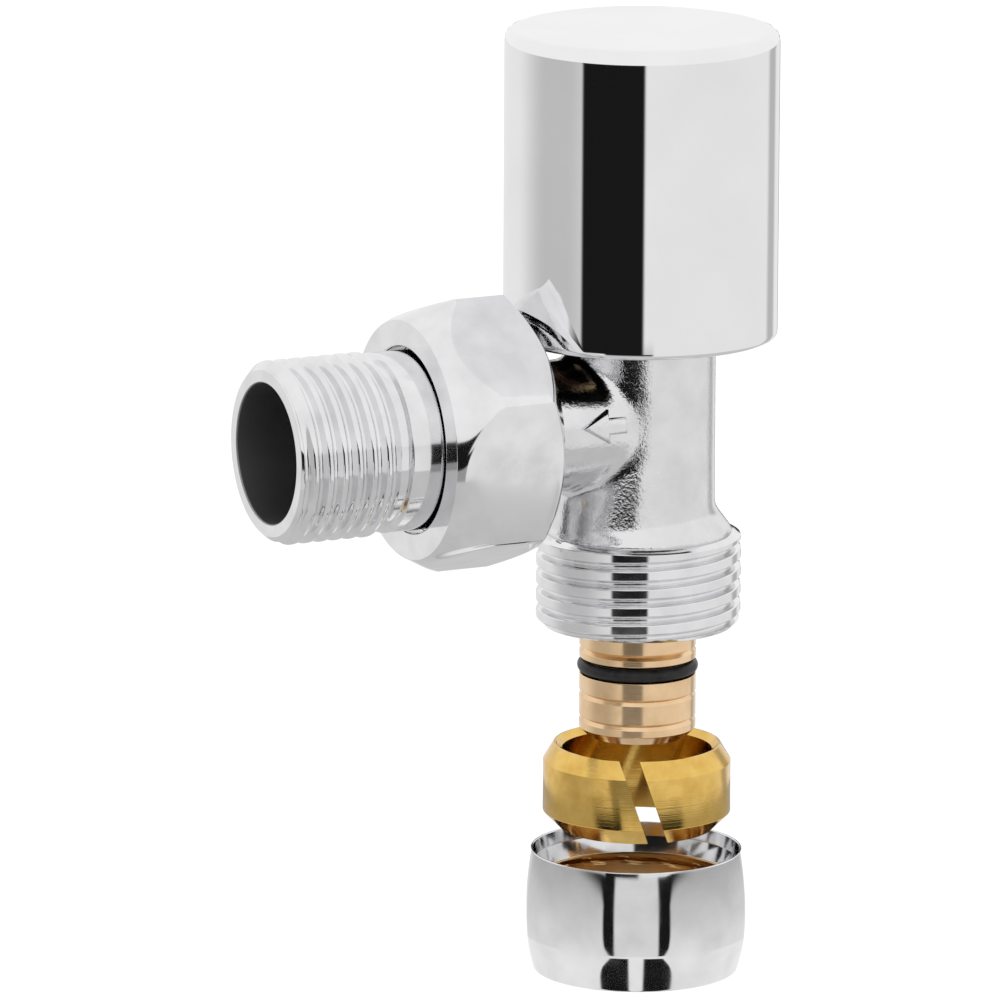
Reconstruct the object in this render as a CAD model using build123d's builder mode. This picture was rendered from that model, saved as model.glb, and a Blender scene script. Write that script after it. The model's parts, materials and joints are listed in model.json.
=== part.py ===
"""Angle radiator valve with its pipe connection drawn apart, in millimetres.

The origin is on the tail's axis at the inner end of its thread, where the radiator's face comes.
The tail points along -X, into the radiator, the spindle stands along +Z, and the pipe comes
from below.
"""

import os
from math import cos, radians, sin, sqrt

from build123d import *

# Handle
handle_dia = 31.3
handle_height = 35.3
handle_lift_off = 9.8  # underside of the handle above the tail's axis
handle_top_round = 1.4
handle_foot_round = 1.0
handle_wall = 1.6
handle_gap = 0.55  # handle side to the back of the union nut

# Casting
neck_dia = 17.3
neck_wall = 2.1
boss_dia = 15.0
boss_wall = 1.9
port_drop = 24.0  # tail axis down to the face of the pipe port
port_thread_length = 9.3
port_chamfer = 0.5
collar_edge = 0.5
collar_overhang = 0.6  # collar over the effective thread radius
collar_round = 0.8
shoulder_height = 4.0  # cone from the collar up to the neck
shoulder_round = 2.0
belly_shift = 0.9  # the elbow bulges towards the tail
belly_swell = 0.9
belly_root = 1.0  # above the collar's edge
belly_height = 9.9
waterway_dia = 10.0

# Seat, plug and spindle
seat_drop = 5.0  # tail axis down to the seat
seat_rim = 0.9
seat_relief = 1.0
washer_thickness = 2.4
plug_flange = 1.8
plug_stem = 5.0
plug_wall = 1.4  # outside the clip
plug_socket_depth = 4.0
lift = 3.75
tip_dia = 6.0
clip_wire = 0.8
clip_depth = 0.6  # how far the clip reaches into the spindle's groove
clip_height = 1.7  # above the socket's floor
clip_opening = 70.0  # degrees
spindle_thread_dia = 8.9
spindle_thread_length = 6.0
stem_dia = 7.0
spline_dia = 6.8
spline_depth = 0.4
spline_teeth = 18
spline_length = 5.8

# Headwork and packing
headwork_wall = 1.2  # neck wall left outside the headwork's thread
headwork_thread_length = 6.7
headwork_flats = 17.0
headwork_hex_height = 4.5
headwork_seal_thickness = 1.0
packing_dia = 10.0
packing_wall = 1.6
packing_washer_thickness = 1.5
packing_ring_thickness = 3.0
gland_thread_length = 3.0
gland_flats = 13.0
gland_hex_height = 3.0

# Handle hub
hub_floor = 1.4
hub_web = 2.5
hub_boss_wall = 2.2
hub_rim_wall = 1.4
hub_skirt = 3.0  # rim below the web
hub_ribs = 6
hub_rib_thickness = 1.2
hub_rib_height = 4.5
small_screw_dia = 3.0
small_head_dia = 5.6
small_head_height = 1.8
small_screw_length = 8.0

# Tail and union nut
tail_thread_dia = 20.955
tail_thread_length = 11.3
tail_thread_pitch = 1.814
tail_thread_depth = 1.0
tail_thread_crest = 0.4  # width of the thread's flat crest
tail_chamfer = 1.0
tail_relief_width = 1.0
tail_relief_depth = 0.9
tail_collar_reach = 4.0  # plain collar in front of the union nut
tail_collar_dia = 20.5
tail_bore_dia = 16.0
tail_bore_depth = 15.0
tail_key_flats = 12.0
tail_flange_dia = 23.8
tail_flange_thickness = 2.5
spigot_dia = 16.6
spigot_length = 3.5
union_flats = 28.6
union_length = 13.5
union_lip = 2.3
union_thread_dia = 26.0
union_thread_recess = 0.8  # thread shoulder inside the nut's back
union_front_chamfer = 5.0  # axial length at the corners
union_back_chamfer = 2.2
union_chamfer_bite = 0.6  # how far the chamfer cuts into the flats at the ends
union_turn = 22.5  # degrees, first corner below facing -Y

# Pipe connection
pipe_wall = 1.7
nipple_wall = 1.9
nipple_reach = 13.2  # nipple below the port's face
nipple_head_length = 6.0
nipple_end_chamfer = 1.0
nipple_line_width = 0.5
nipple_line_depth = 0.25
nipple_lines = (2.6, 7.9, 10.8)  # below the port's face
shank_seal_drop = 4.9
seal_section = 1.8
seal_proud = 0.35  # how far a free ring stands out of its groove
ring_wall = 2.2
ring_side_gap = 0.36  # ring to the nut's bore
ring_height = 9.9
ring_top_edge = 1.2  # radial width of the upper chamfer
ring_top_chamfer = 2.0
ring_bottom_edge = 2.0
ring_inner_chamfer = 0.7
ring_seat_depth = 1.2  # how far the ring seats in the port's mouth
ring_slot_width = 2.2
ring_slot_lean = 19.0
ring_slot_facing = -21.5  # degrees about the spindle's axis from facing -Y
nut_dia = 25.9
nut_wall = 1.04  # outside the thread at the rim
nut_flat_depth = 0.35
nut_height = 14.2
nut_turn = 34.0  # degrees from facing +X to the first flat
nut_crown = 0.75  # how far the sides draw in towards the rims
nut_foot_chamfer = 4.4
nut_foot_edge = 1.2
nut_lip = 2.9
nut_mouth_chamfer = 0.4
ring_display_gap = 1.0  # nipple end to the ring, as shown apart
nut_display_gap = 2.6  # ring to the nut, as shown apart

# Clearances
thread_clearance = 0.06
static_clearance = 0.03
running_clearance = 0.1
seal_clearance = 0.05
cover_clearance = 0.35
slide_over_clearance = 0.2

# Places along the tail's axis
handle_r = handle_dia / 2
tail_end = -tail_thread_length - tail_chamfer
tail_bore_floor = tail_end + tail_bore_depth
union_front = tail_relief_width + tail_collar_reach
union_back = union_front + union_length
valve_x = union_back + handle_gap + handle_r
flange_front = union_front + union_lip + running_clearance
union_face = flange_front + tail_flange_thickness
union_shoulder = union_back - union_thread_recess

# Places along the spindle's axis
port_face = -port_drop
port_thread_top = port_face + port_thread_length
collar_top = port_thread_top + collar_edge
shoulder_top = collar_top + shoulder_height
belly_base = collar_top + belly_root
seat_z = -seat_drop
plug_base = seat_z + washer_thickness
plug_shoulder = plug_base + plug_flange
plug_top = plug_shoulder + plug_stem
socket_floor = plug_top - plug_socket_depth
headwork_base = plug_top + lift + cover_clearance
headwork_seat = headwork_base + headwork_thread_length
neck_top = headwork_seat - headwork_seal_thickness
spindle_thread_base = headwork_base - cover_clearance
spindle_thread_top = spindle_thread_base + spindle_thread_length
packing_base = spindle_thread_top + lift + cover_clearance
gland_base = packing_base + packing_washer_thickness + packing_ring_thickness
gland_seat = gland_base + gland_thread_length
gland_top = gland_seat + gland_hex_height
hub_base = gland_top + cover_clearance
spindle_top = hub_base + spline_length
hub_socket_top = spindle_top + running_clearance
hub_top = hub_socket_top + hub_floor
handle_top = handle_lift_off + handle_height
handle_roof = handle_top - handle_wall
nipple_end = port_face - nipple_reach
ring_top = nipple_end - ring_display_gap
ring_base = ring_top - ring_height
nut_top = ring_base - nut_display_gap
nut_base = nut_top - nut_height

# Radii
neck_r = neck_dia / 2
chamber_r = neck_r - neck_wall
boss_r = boss_dia / 2
nut_r = nut_dia / 2
nut_rim_r = nut_r - nut_crown
nut_bore_r = nut_rim_r - nut_wall
nut_flat_r = nut_r - nut_flat_depth
port_r = nut_bore_r - thread_clearance  # at the thread's effective diameter
collar_r = port_r + collar_overhang
waterway_r = waterway_dia / 2
headwork_thread_r = neck_r - headwork_wall
spindle_thread_r = spindle_thread_dia / 2
stem_r = stem_dia / 2
tip_r = tip_dia / 2
packing_r = packing_dia / 2
tail_r = tail_thread_dia / 2
tail_collar_r = tail_collar_dia / 2
spigot_r = spigot_dia / 2
union_thread_r = union_thread_dia / 2
union_corner_r = union_flats / sqrt(3)
ring_r = nut_bore_r - ring_side_gap
ring_bore_r = ring_r - ring_wall
pipe_r = ring_bore_r - running_clearance
nipple_r = pipe_r - pipe_wall - running_clearance
nipple_head_r = nipple_r + running_clearance + seal_proud
nipple_bore_r = nipple_r - nipple_wall
pipe_hole_r = pipe_r + slide_over_clearance
seal_r = seal_section / 2
screw_r = small_screw_dia / 2
screw_head_r = small_head_dia / 2

# Slope of the ring's upper chamfer, which the port's mouth repeats
ring_slope = ring_top_edge / ring_top_chamfer
mouth_r = ring_r - ring_top_edge + ring_slope * ring_seat_depth + running_clearance
nipple_socket_r = nipple_head_r + static_clearance
mouth_depth = (mouth_r - nipple_socket_r) / ring_slope
nipple_head_base = port_face + mouth_depth
nipple_head_top = nipple_head_base + nipple_head_length

valve_side = Plane(origin=(valve_x, 0, 0), x_dir=(1, 0, 0), z_dir=(0, -1, 0))
spindle_axis = Axis((valve_x, 0, 0), (0, 0, 1))


def level(height):
    """Horizontal plane on the spindle's axis at a height."""
    return Plane(origin=(valve_x, 0, height))


def across(place):
    """Plane square to the tail's axis, facing the valve, with -Y to its right."""
    return Plane(origin=(place, 0, 0), x_dir=(0, -1, 0), z_dir=(1, 0, 0))


def outline(*points):
    """Straight-sided face in the current sketch, with its points where they are given."""
    Polygon(*points, align=None)


# Body: an elbow cast in one piece, with a neck for the headwork, a side outlet for the tail
# and a threaded port for the pipe below
with BuildPart() as valve_body:
    with BuildSketch(valve_side) as body_outline:
        outline(
            (0, neck_top),
            (0, port_face),
            (port_r - port_chamfer, port_face),
            (port_r, port_face + port_chamfer),
            (port_r, port_thread_top),
            (collar_r, port_thread_top),
            (collar_r, collar_top),
            (neck_r, shoulder_top),
            (neck_r, neck_top),
        )
        fillet(body_outline.vertices().sort_by_distance((neck_r, shoulder_top))[0], shoulder_round)
        fillet(body_outline.vertices().sort_by_distance((collar_r, collar_top))[0], collar_round)
    revolve(axis=spindle_axis)
    with BuildSketch(Plane.XZ):
        outline(
            (union_face, 0),
            (union_face, union_thread_r - port_chamfer),
            (union_face + port_chamfer, union_thread_r),
            (union_shoulder, union_thread_r),
            (union_back, boss_r + boss_wall),
            (union_back + boss_wall, boss_r),
            (valve_x, boss_r),
            (valve_x, 0),
        )
    revolve(axis=Axis.X)
    with BuildSketch(level(belly_base + belly_height)):
        Circle(neck_r - static_clearance)
    with BuildSketch(level(belly_base)):
        with Locations((-belly_shift, 0)):
            Circle(neck_r + belly_swell)
    loft()
    # Pipe port: mouth for the split ring, socket for the nipple, waterway and seat
    with BuildSketch(valve_side):
        outline(
            (0, port_face),
            (mouth_r, port_face),
            (nipple_socket_r, nipple_head_base),
            (nipple_socket_r, nipple_head_top),
            (waterway_r, nipple_head_top),
            (waterway_r, seat_z),
            (waterway_r + seat_rim, seat_z),
            (waterway_r + seat_rim, seat_z - seat_relief),
            (chamber_r, seat_z - seat_relief),
            (chamber_r, headwork_base - static_clearance),
            (headwork_thread_r, headwork_base - static_clearance),
            (headwork_thread_r, neck_top),
            (0, neck_top),
        )
    revolve(axis=spindle_axis, mode=Mode.SUBTRACT)
    # Side outlet: waterway and the socket for the tail's spigot
    with BuildSketch(Plane.XZ):
        outline(
            (union_face, 0),
            (union_face, spigot_r + seal_clearance),
            (union_face + spigot_length + running_clearance, spigot_r + seal_clearance),
            (union_face + spigot_length + running_clearance, boss_r - boss_wall),
            (valve_x, boss_r - boss_wall),
            (valve_x, 0),
        )
    revolve(axis=Axis.X, mode=Mode.SUBTRACT)
valve_body.part.label = "valve_body"

# Tail: screws into the radiator, held to the body by its flange, with a key socket inside
tail_groove_r = spigot_r + seal_clearance - seal_section - seal_clearance
tail_groove_mid = union_face + spigot_length / 2
tail_bore_r = tail_bore_dia / 2
tail_key_r = tail_key_flats / 2
tail_key_start = tail_bore_floor + tail_bore_r - tail_key_r
tail_thread_turns = int(tail_thread_length / tail_thread_pitch)
tail_thread_half = (tail_thread_pitch - tail_thread_crest) / 2
with BuildPart() as tail_piece:
    with BuildSketch(Plane.XZ):
        outline(
            (tail_end, tail_bore_r),
            (tail_end, tail_r - tail_chamfer),
            (tail_end + tail_chamfer, tail_r),
            (0, tail_r),
            (0, tail_r - tail_relief_depth),
            (tail_relief_width, tail_r - tail_relief_depth),
            (tail_relief_width, tail_collar_r),
            (flange_front, tail_collar_r),
            (flange_front, tail_flange_dia / 2),
            (union_face, tail_flange_dia / 2),
            (union_face, spigot_r),
            (tail_groove_mid - seal_r - seal_clearance, spigot_r),
            (tail_groove_mid - seal_r - seal_clearance, tail_groove_r),
            (tail_groove_mid + seal_r + seal_clearance, tail_groove_r),
            (tail_groove_mid + seal_r + seal_clearance, spigot_r),
            (union_face + spigot_length, spigot_r),
            (union_face + spigot_length, 0),
            (tail_key_start, 0),
            (tail_key_start, tail_key_r),
            (tail_bore_floor, tail_bore_r),
        )
    revolve(axis=Axis.X)
    # Thread, drawn as plain rings
    for turn in range(tail_thread_turns):
        valley = tail_thread_pitch * (turn - (tail_thread_turns - 1) / 2) - tail_thread_length / 2
        with BuildSketch(Plane.XZ):
            outline(
                (valley - tail_thread_half, tail_r),
                (valley, tail_r - tail_thread_depth),
                (valley + tail_thread_half, tail_r),
            )
        revolve(axis=Axis.X, mode=Mode.SUBTRACT)
    with BuildSketch(across(tail_bore_floor)):
        RegularPolygon(tail_key_r, 6, major_radius=False)
    extrude(amount=union_face + spigot_length - tail_bore_floor, mode=Mode.SUBTRACT)
tail_piece.part.label = "tail_piece"

# Ring seal on the tail's spigot
with BuildPart() as tail_seal:
    with BuildSketch(Plane.XZ):
        with Locations((tail_groove_mid, spigot_r - seal_r)):
            Circle(seal_r - seal_clearance)
    revolve(axis=Axis.X)
tail_seal.part.label = "tail_seal"

# Union nut: a hexagon turned to a chamfer at both ends, with a lip that pulls on the tail's flange
union_edge_r = union_flats / 2 - union_chamfer_bite
with BuildPart() as union_nut:
    with BuildSketch(Plane.XZ):
        outline(
            (union_front, 0),
            (union_front, union_edge_r),
            (union_front + union_front_chamfer, union_corner_r),
            (union_back - union_back_chamfer, union_corner_r),
            (union_back, union_edge_r),
            (union_back, 0),
        )
    revolve(axis=Axis.X)
    with BuildSketch(across(union_front)):
        RegularPolygon(union_flats / 2, 6, major_radius=False, rotation=union_turn)
    extrude(amount=union_length, mode=Mode.INTERSECT)
    with BuildSketch(Plane.XZ):
        outline(
            (union_front, 0),
            (union_front, tail_r + slide_over_clearance),
            (union_front + union_lip, tail_r + slide_over_clearance),
            (union_front + union_lip, union_thread_r + thread_clearance),
            (union_back, union_thread_r + thread_clearance),
            (union_back, 0),
        )
    revolve(axis=Axis.X, mode=Mode.SUBTRACT)
union_nut.part.label = "union_nut"

# Headwork: brass bonnet that carries the spindle's thread and the packing
with BuildPart() as headwork:
    with BuildSketch(valve_side):
        outline(
            (spindle_thread_r + thread_clearance, headwork_base),
            (headwork_thread_r - static_clearance, headwork_base),
            (headwork_thread_r - static_clearance, headwork_seat),
            (packing_r + packing_wall, headwork_seat),
            (packing_r + packing_wall, gland_seat),
            (packing_r, gland_seat),
            (packing_r, packing_base),
            (spindle_thread_r + thread_clearance, packing_base),
        )
    revolve(axis=spindle_axis)
    with BuildSketch(level(headwork_seat)):
        RegularPolygon(headwork_flats / 2, 6, major_radius=False)
        Circle(packing_r + packing_wall / 2, mode=Mode.SUBTRACT)
    extrude(amount=headwork_hex_height)
headwork.part.label = "headwork"

# Flat washer between the neck and the headwork's hexagon
with BuildPart() as headwork_seal:
    with BuildSketch(level(neck_top)):
        Circle(neck_r)
        Circle(headwork_thread_r + static_clearance, mode=Mode.SUBTRACT)
    extrude(amount=headwork_seal_thickness)
headwork_seal.part.label = "headwork_seal"

# Hard washer under the packing
with BuildPart() as packing_washer:
    with BuildSketch(level(packing_base)):
        Circle(packing_r - static_clearance)
        Circle(stem_r + running_clearance, mode=Mode.SUBTRACT)
    extrude(amount=packing_washer_thickness)
packing_washer.part.label = "packing_washer"

# Soft packing ring that seals the stem
with BuildPart() as packing_ring:
    with BuildSketch(level(packing_base + packing_washer_thickness)):
        Circle(packing_r - static_clearance)
        Circle(stem_r + running_clearance / 2, mode=Mode.SUBTRACT)
    extrude(amount=packing_ring_thickness)
packing_ring.part.label = "packing_ring"

# Gland nut that squeezes the packing
with BuildPart() as gland_nut:
    with BuildSketch(level(gland_base)):
        Circle(packing_r - static_clearance)
    extrude(amount=gland_thread_length)
    with BuildSketch(level(gland_seat)):
        RegularPolygon(gland_flats / 2, 6, major_radius=False)
    extrude(amount=gland_hex_height)
    with BuildSketch(level(gland_base)):
        Circle(stem_r + running_clearance)
    extrude(amount=gland_thread_length + gland_hex_height, mode=Mode.SUBTRACT)
gland_nut.part.label = "gland_nut"

# Spindle: clip groove at the foot, thread, plain stem and a splined end for the handle
clip_mid = socket_floor + clip_height
clip_inner_r = tip_r - clip_depth
groove_half = clip_wire / 2 + running_clearance
spline_base = hub_base - cover_clearance
with BuildPart() as spindle:
    with BuildSketch(valve_side):
        outline(
            (0, socket_floor + running_clearance),
            (tip_r, socket_floor + running_clearance),
            (tip_r, clip_mid - groove_half),
            (clip_inner_r - running_clearance, clip_mid - groove_half),
            (clip_inner_r - running_clearance, clip_mid + groove_half),
            (tip_r, clip_mid + groove_half),
            (tip_r, spindle_thread_base),
            (spindle_thread_r, spindle_thread_base),
            (spindle_thread_r, spindle_thread_top),
            (stem_r, spindle_thread_top),
            (stem_r, spline_base),
            (0, spline_base),
        )
    revolve(axis=spindle_axis)
    with BuildSketch(level(spline_base)):
        spline_points = []
        for step in range(2 * spline_teeth):
            spline_r = spline_dia / 2 - spline_depth * (step % 2)
            turn = radians(180 * step / spline_teeth)
            spline_points.append((spline_r * cos(turn), spline_r * sin(turn)))
        outline(*spline_points)
    extrude(amount=spindle_top - spline_base)
    with BuildSketch(level(spindle_top)):
        Circle(screw_r + static_clearance)
    extrude(amount=-small_screw_length, mode=Mode.SUBTRACT)
spindle.part.label = "spindle"

# Plug: carrier that closes the seat, with a socket for the spindle's foot
plug_r = chamber_r - slide_over_clearance
plug_socket_r = tip_r + running_clearance
clip_outer_r = plug_socket_r + clip_depth
plug_boss_r = clip_outer_r + plug_wall
with BuildPart() as plug:
    with BuildSketch(valve_side):
        outline(
            (0, plug_base),
            (plug_r, plug_base),
            (plug_r, plug_shoulder),
            (plug_boss_r, plug_shoulder),
            (plug_boss_r, plug_top),
            (plug_socket_r, plug_top),
            (plug_socket_r, clip_mid + groove_half),
            (clip_outer_r + running_clearance, clip_mid + groove_half),
            (clip_outer_r + running_clearance, clip_mid - groove_half),
            (plug_socket_r, clip_mid - groove_half),
            (plug_socket_r, socket_floor),
            (0, socket_floor),
        )
    revolve(axis=spindle_axis)
    with BuildSketch(level(plug_base)):
        Circle(screw_r + static_clearance)
    extrude(amount=plug_flange, mode=Mode.SUBTRACT)
plug.part.label = "plug"

# Rubber disc that meets the seat
with BuildPart() as seat_washer:
    with BuildSketch(level(seat_z)):
        Circle(plug_r)
        Circle(screw_r + static_clearance, mode=Mode.SUBTRACT)
    extrude(amount=washer_thickness)
seat_washer.part.label = "seat_washer"

# Screw that holds the seat washer from below
with BuildPart() as washer_screw:
    with BuildSketch(level(seat_z)):
        Circle(screw_head_r)
    extrude(amount=-small_head_height)
    with BuildSketch(level(seat_z)):
        Circle(screw_r)
    extrude(amount=washer_thickness + plug_flange - static_clearance)
    with BuildSketch(level(seat_z - small_head_height)):
        Rectangle(small_head_dia, small_head_height / 2)
    extrude(amount=small_head_height / 2, mode=Mode.SUBTRACT)
washer_screw.part.label = "washer_screw"

# Open wire clip that keeps the plug on the spindle
with BuildPart() as plug_clip:
    with BuildSketch(level(clip_mid - clip_wire / 2)):
        Circle(clip_outer_r)
        Circle(clip_inner_r, mode=Mode.SUBTRACT)
        with BuildLine():
            reach = 2 * clip_outer_r
            half_opening = radians(clip_opening / 2)
            Polyline(
                (0, 0),
                (reach * cos(half_opening), reach * sin(half_opening)),
                (reach * cos(half_opening), -reach * sin(half_opening)),
                close=True,
            )
        make_face(mode=Mode.SUBTRACT)
    extrude(amount=clip_wire)
plug_clip.part.label = "plug_clip"

# Handle shell: a plain deep cup, open below
with BuildPart() as handle_shell:
    with BuildSketch(level(handle_lift_off)):
        Circle(handle_r)
    extrude(amount=handle_height)
    fillet(handle_shell.faces().sort_by(Axis.Z)[-1].edges(), handle_top_round)
    with BuildSketch(level(handle_lift_off)):
        Circle(handle_r - handle_wall)
    extrude(amount=handle_height - handle_wall, mode=Mode.SUBTRACT)
    foot_edges = handle_shell.faces().sort_by(Axis.Z)[0].edges().sort_by(SortBy.LENGTH)
    fillet(foot_edges[-1], handle_foot_round)
handle_shell.part.label = "handle_shell"

# Handle hub: moulded insert with a splined socket, a web with ribs and a rim for the shell
hub_rim_r = handle_r - handle_wall - static_clearance
hub_boss_r = spline_dia / 2 + hub_boss_wall
hub_web_base = hub_top - hub_web
with BuildPart() as handle_hub:
    with BuildSketch(level(hub_web_base)):
        Circle(hub_rim_r)
    extrude(amount=hub_web)
    with BuildSketch(level(hub_web_base - hub_skirt)):
        Circle(hub_rim_r)
        Circle(hub_rim_r - hub_rim_wall, mode=Mode.SUBTRACT)
    extrude(amount=handle_roof - hub_web_base + hub_skirt)
    with BuildSketch(level(hub_base)):
        Circle(hub_boss_r)
    extrude(amount=hub_top - hub_base)
    with BuildSketch(level(hub_top)):
        rib_mid = (hub_boss_r + hub_rim_r) / 2
        with PolarLocations(rib_mid, hub_ribs):
            Rectangle(hub_rim_r - hub_boss_r - hub_rim_wall / 2, hub_rib_thickness)
    extrude(amount=hub_rib_height)
    with BuildSketch(level(hub_base)):
        socket_points = []
        for step in range(2 * spline_teeth):
            socket_r = spline_dia / 2 + seal_clearance - spline_depth * (step % 2)
            turn = radians(180 * step / spline_teeth)
            socket_points.append((socket_r * cos(turn), socket_r * sin(turn)))
        outline(*socket_points)
    extrude(amount=hub_socket_top - hub_base, mode=Mode.SUBTRACT)
    with BuildSketch(level(hub_socket_top)):
        Circle(screw_r + running_clearance)
    extrude(amount=hub_floor, mode=Mode.SUBTRACT)
handle_hub.part.label = "handle_hub"

# Screw that holds the hub on the spindle
with BuildPart() as hub_screw:
    with BuildSketch(level(hub_top)):
        Circle(screw_head_r)
    extrude(amount=small_head_height)
    with BuildSketch(level(hub_top)):
        Circle(screw_r)
    extrude(amount=-small_screw_length)
    with BuildSketch(level(hub_top + small_head_height)):
        Rectangle(small_head_dia, small_head_height / 2)
    extrude(amount=-small_head_height / 2, mode=Mode.SUBTRACT)
hub_screw.part.label = "hub_screw"

# Insert nipple: goes inside the pipe, sealed in the port by its head and in the pipe by its shank
head_groove_mid = nipple_head_base + nipple_head_length / 2
head_groove_r = nipple_head_r - seal_section
shank_groove_mid = port_face - shank_seal_drop
shank_groove_r = nipple_r + seal_proud - seal_section
groove_reach = seal_r + seal_clearance
with BuildPart() as insert_nipple:
    with BuildSketch(valve_side):
        outline(
            (nipple_bore_r, nipple_end),
            (nipple_r - nipple_end_chamfer, nipple_end),
            (nipple_r, nipple_end + nipple_end_chamfer),
            (nipple_r, shank_groove_mid - groove_reach),
            (shank_groove_r, shank_groove_mid - groove_reach),
            (shank_groove_r, shank_groove_mid + groove_reach),
            (nipple_r, shank_groove_mid + groove_reach),
            (nipple_r, nipple_head_base),
            (nipple_head_r, nipple_head_base),
            (nipple_head_r, head_groove_mid - groove_reach),
            (head_groove_r, head_groove_mid - groove_reach),
            (head_groove_r, head_groove_mid + groove_reach),
            (nipple_head_r, head_groove_mid + groove_reach),
            (nipple_head_r, nipple_head_top),
            (nipple_bore_r, nipple_head_top),
        )
    revolve(axis=spindle_axis)
    for drop in nipple_lines:
        with BuildSketch(valve_side):
            outline(
                (nipple_r, port_face - drop),
                (nipple_r - nipple_line_depth, port_face - drop),
                (nipple_r, port_face - drop - nipple_line_width),
            )
        revolve(axis=spindle_axis, mode=Mode.SUBTRACT)
insert_nipple.part.label = "insert_nipple"

# Ring seal on the nipple's shank, which stands a little proud
with BuildPart() as nipple_shank_seal:
    with BuildSketch(valve_side):
        with Locations((nipple_r + seal_proud - seal_r, shank_groove_mid)):
            Circle(seal_r - seal_clearance)
    revolve(axis=spindle_axis)
nipple_shank_seal.part.label = "nipple_shank_seal"

# Ring seal on the nipple's head, inside the port
with BuildPart() as nipple_head_seal:
    with BuildSketch(valve_side):
        with Locations((nipple_head_r - seal_r, head_groove_mid)):
            Circle(seal_r - seal_clearance)
    revolve(axis=spindle_axis)
nipple_head_seal.part.label = "nipple_head_seal"

# Split ring: chamfered at both ends and cut through by one slanted slot
ring_mid = (ring_top + ring_base) / 2
slot_turn = radians(ring_slot_facing)
slot_plane = Plane(
    origin=(valve_x, 0, ring_mid),
    x_dir=(cos(slot_turn), sin(slot_turn), 0),
    z_dir=(sin(slot_turn), -cos(slot_turn), 0),
)
with BuildPart() as split_ring:
    with BuildSketch(valve_side):
        outline(
            (ring_bore_r, ring_base),
            (ring_r - ring_bottom_edge, ring_base),
            (ring_r, ring_base + ring_bottom_edge),
            (ring_r, ring_top - ring_top_chamfer),
            (ring_r - ring_top_edge, ring_top),
            (ring_bore_r + ring_inner_chamfer, ring_top),
            (ring_bore_r, ring_top - ring_inner_chamfer),
        )
    revolve(axis=spindle_axis)
    with BuildSketch(slot_plane):
        Rectangle(ring_slot_width, 2 * ring_height, rotation=ring_slot_lean)
    extrude(amount=2 * ring_r, mode=Mode.SUBTRACT)
split_ring.part.label = "split_ring"

# Compression nut: a barrel with six slightly crowned flats, threaded inside,
# with a cone that squeezes the split ring and a hole for the pipe
nut_mid = (nut_top + nut_base) / 2
with BuildPart() as compression_nut:
    with BuildSketch(valve_side):
        with BuildLine():
            ThreePointArc(
                (nut_rim_r, nut_top), (nut_r, nut_mid), (nut_r, nut_base + nut_foot_chamfer)
            )
            Polyline(
                (nut_r, nut_base + nut_foot_chamfer),
                (nut_r - nut_foot_edge, nut_base),
                (0, nut_base),
                (0, nut_top),
                (nut_rim_r, nut_top),
            )
        make_face()
    revolve(axis=spindle_axis)
    for pair in range(3):
        flat_side = valve_side.rotated((0, 0, nut_turn + 60 * pair))
        with BuildSketch(flat_side.offset(-nut_dia)):
            with BuildLine():
                right = ThreePointArc(
                    (nut_flat_r - nut_crown, nut_base),
                    (nut_flat_r, nut_mid),
                    (nut_flat_r - nut_crown, nut_top),
                )
                left = ThreePointArc(
                    (-nut_flat_r + nut_crown, nut_top),
                    (-nut_flat_r, nut_mid),
                    (-nut_flat_r + nut_crown, nut_base),
                )
                Line(right @ 1, left @ 0)
                Line(left @ 1, right @ 0)
            make_face()
        extrude(amount=2 * nut_dia, mode=Mode.INTERSECT)
    nut_cone_top = nut_base + nut_lip + nut_bore_r - pipe_hole_r
    with BuildSketch(valve_side):
        outline(
            (0, nut_base),
            (pipe_hole_r, nut_base),
            (pipe_hole_r, nut_base + nut_lip),
            (nut_bore_r, nut_cone_top),
            (nut_bore_r, nut_top - nut_mouth_chamfer),
            (nut_bore_r + nut_mouth_chamfer, nut_top),
            (0, nut_top),
        )
    revolve(axis=spindle_axis, mode=Mode.SUBTRACT)
compression_nut.part.label = "compression_nut"

os.makedirs("parts", exist_ok=True)
export_step(valve_body.part, "parts/valve_body.step")
export_step(tail_piece.part, "parts/tail_piece.step")
export_step(tail_seal.part, "parts/tail_seal.step")
export_step(union_nut.part, "parts/union_nut.step")
export_step(headwork.part, "parts/headwork.step")
export_step(headwork_seal.part, "parts/headwork_seal.step")
export_step(packing_washer.part, "parts/packing_washer.step")
export_step(packing_ring.part, "parts/packing_ring.step")
export_step(gland_nut.part, "parts/gland_nut.step")
export_step(spindle.part, "parts/spindle.step")
export_step(plug.part, "parts/plug.step")
export_step(seat_washer.part, "parts/seat_washer.step")
export_step(washer_screw.part, "parts/washer_screw.step")
export_step(plug_clip.part, "parts/plug_clip.step")
export_step(handle_shell.part, "parts/handle_shell.step")
export_step(handle_hub.part, "parts/handle_hub.step")
export_step(hub_screw.part, "parts/hub_screw.step")
export_step(insert_nipple.part, "parts/insert_nipple.step")
export_step(nipple_shank_seal.part, "parts/nipple_shank_seal.step")
export_step(nipple_head_seal.part, "parts/nipple_head_seal.step")
export_step(split_ring.part, "parts/split_ring.step")
export_step(compression_nut.part, "parts/compression_nut.step")
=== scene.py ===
"""Looks of the angle radiator valve: its plated casting, threads, polished handle and pipe connection."""

import json
import math

import bmesh
import bpy
import numpy as np
from mathutils import Matrix, Vector


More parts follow.
